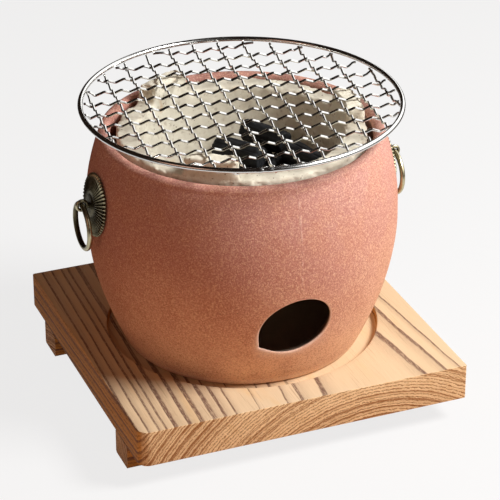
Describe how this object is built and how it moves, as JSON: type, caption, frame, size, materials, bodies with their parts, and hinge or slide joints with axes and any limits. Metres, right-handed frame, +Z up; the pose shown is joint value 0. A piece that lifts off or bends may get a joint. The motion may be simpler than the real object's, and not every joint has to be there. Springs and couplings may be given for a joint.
{
  "type": "charcoal brazier",
  "caption": "Table-top clay charcoal brazier with a fireclay liner, a round woven wire grill and hanging ring handles, standing in the turned recess of a square wooden tray.",
  "frame": {"origin": "middle of the tray's footprint on the surface it stands on, on the axis of the pot", "axes": "+Z up; -Y is the front, where the air vent is; +X to the right; the two ring handles lie on the X axis"},
  "size_m": [0.2018, 0.2, 0.1798],
  "materials": {
    "tray_wood": "oiled ash, honey to tan with darker latewood stripes, satin",
    "red_clay": "unglazed terracotta, dusty pink to orange, sandy speckle, matt",
    "fireclay": "cream fireclay, chalky, shading to brown inside, matt",
    "grate_iron": "bare cast iron under ash, rough",
    "charcoal": "lump charcoal, black with a grey-blue sheen, cracked",
    "grill_steel": "bright drawn steel wire",
    "old_bronze": "antique bronze plating, dark in the hollows and bright on the high edges",
    "screw_zinc": "zinc plated"
  },
  "bodies": {
    "tray": {"tray_board": "tray_wood", "batten_front": "tray_wood", "batten_rear": "tray_wood", "batten_screw_1": "screw_zinc", "batten_screw_2": "screw_zinc", "batten_screw_3": "screw_zinc", "batten_screw_4": "screw_zinc"},
    "stove": {"pot_shell": "red_clay", "rosette_left": "old_bronze", "rosette_right": "old_bronze", "eye_pin_left": "old_bronze", "eye_pin_right": "old_bronze", "pin_washer_left": "screw_zinc", "pin_washer_right": "screw_zinc"},
    "liner": {"fire_liner": "fireclay", "fire_grate": "grate_iron", "charcoal_1": "charcoal", "charcoal_2": "charcoal", "charcoal_3": "charcoal", "charcoal_4": "charcoal", "charcoal_5": "charcoal", "charcoal_6": "charcoal", "charcoal_7": "charcoal"},
    "grill": {"grill_ring": "grill_steel", "net_row_1": "grill_steel", "net_row_2": "grill_steel", "net_row_3": "grill_steel", "net_row_4": "grill_steel", "net_row_5": "grill_steel", "net_row_6": "grill_steel", "net_row_7": "grill_steel", "net_row_8": "grill_steel", "net_row_9": "grill_steel", "net_row_10": "grill_steel", "net_row_11": "grill_steel", "net_row_12": "grill_steel", "net_column_1": "grill_steel", "net_column_2": "grill_steel", "net_column_3": "grill_steel", "net_column_4": "grill_steel", "net_column_5": "grill_steel", "net_column_6": "grill_steel", "net_column_7": "grill_steel", "net_column_8": "grill_steel", "net_column_9": "grill_steel", "net_column_10": "grill_steel", "net_column_11": "grill_steel", "net_column_12": "grill_steel"},
    "ring_left": {"handle_ring_left": "old_bronze"},
    "ring_right": {"handle_ring_right": "old_bronze"}
  },
  "joints": [
    {"name": "stove_lift", "type": "slide", "parent": "tray", "child": "stove", "axis": [0, 0, 1], "range_m": [0, 0.03]},
    {"name": "liner_lift", "type": "slide", "parent": "stove", "child": "liner", "axis": [0, 0, 1], "range_m": [0, 0.075]},
    {"name": "grill_lift", "type": "slide", "parent": "liner", "child": "grill", "axis": [0, 0, 1], "range_m": [0, 0.04]},
    {"name": "ring_left_swing", "type": "hinge", "parent": "stove", "child": "ring_left", "pos_m": [-0.09715, 0, 0.12976], "axis": [0, 1, 0], "range_deg": [-6, 170]},
    {"name": "ring_right_swing", "type": "hinge", "parent": "stove", "child": "ring_right", "pos_m": [0.09715, 0, 0.12976], "axis": [0, -1, 0], "range_deg": [-6, 170]}
  ]
}
